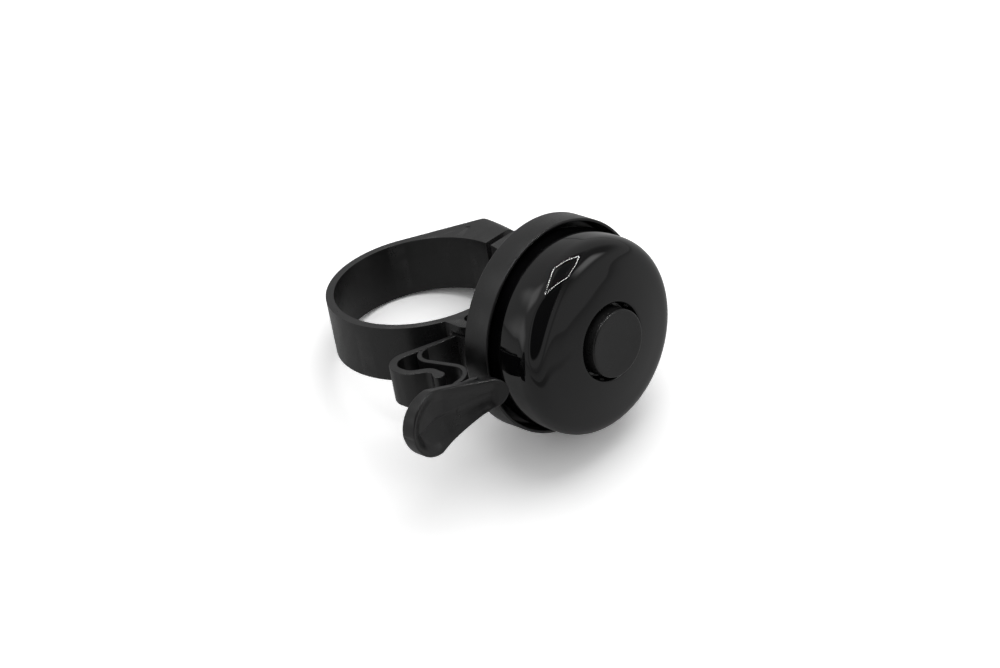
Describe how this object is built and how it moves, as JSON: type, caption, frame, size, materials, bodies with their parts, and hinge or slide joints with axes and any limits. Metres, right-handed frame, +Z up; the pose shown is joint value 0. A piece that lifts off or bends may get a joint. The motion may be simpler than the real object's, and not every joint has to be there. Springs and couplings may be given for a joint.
{
  "type": "bicycle bell",
  "caption": "Black bicycle bell: hinged clamp band for a handlebar, shallow cup, gloss steel dome with a centre cap, and a sprung thumb lever with a hooked guard.",
  "frame": {"origin": "centre of the clamp band's bore, on the bar's axis, at half the band's height", "axes": "the bell lies on a table as it does in the picture: +Z up, +X horizontal from the clamp towards the dome, -Y the thumb lever's side. The bell's own axis is raised 19.8 degrees from +X, and the bell is rolled 8.1 degrees about that axis"},
  "size_m": [0.0599, 0.0602, 0.0392],
  "materials": {
    "body_plastic": "satin black moulded nylon",
    "dome_paint": "gloss black paint on steel",
    "cap_plastic": "satin black",
    "screw_steel": "zinc plated",
    "insert_brass": "plain",
    "seat_rubber": "plain"
  },
  "bodies": {
    "base": {"base_block": "body_plastic", "base_cup": "body_plastic", "lever_guard": "body_plastic", "lever_spring": "body_plastic", "hinge_pin": "screw_steel", "clamp_nut": "screw_steel", "thread_insert": "insert_brass", "dome_post": "body_plastic", "dome_seat": "seat_rubber", "dome": "dome_paint", "dome_washer": "screw_steel", "dome_screw": "screw_steel", "button_cap": "cap_plastic"},
    "lever": {"thumb_lever": "body_plastic"},
    "strap": {"clamp_strap": "body_plastic"},
    "washer": {"clamp_washer": "screw_steel"},
    "screw": {"clamp_screw": "screw_steel"}
  },
  "joints": [
    {"name": "lever_flex", "type": "hinge", "parent": "base", "child": "lever", "pos_m": [0.02034, -0.01723, 0.00993], "axis": [-0.3354, 0.1409, 0.9315], "range_deg": [-20, 10], "stiffness_Nm_per_rad": 0.1, "deforming": ["lever_spring"]},
    {"name": "strap_hinge", "type": "hinge", "parent": "base", "child": "strap", "pos_m": [0.01706, -0.00535, 0.00695], "axis": [-0.3354, 0.1409, 0.9315], "range_deg": [-1.47, 1.77]},
    {"name": "screw_advance", "type": "slide", "parent": "base", "child": "washer", "axis": [0.9409, 0, 0.3387], "range_m": [-0.00075, 0.00063]},
    {"name": "screw_turn", "type": "hinge", "parent": "washer", "child": "screw", "pos_m": [-0.00492, 0.01901, -0.00465], "axis": [0.9409, 0, 0.3387], "range_deg": [-540, 450]}
  ],
  "couplings": [
    {"joint": "screw_turn", "follows": "screw_advance", "rad_per_m": 12566},
    {"joint": "strap_hinge", "follows": "screw_advance", "rad_per_m": -40.6}
  ]
}
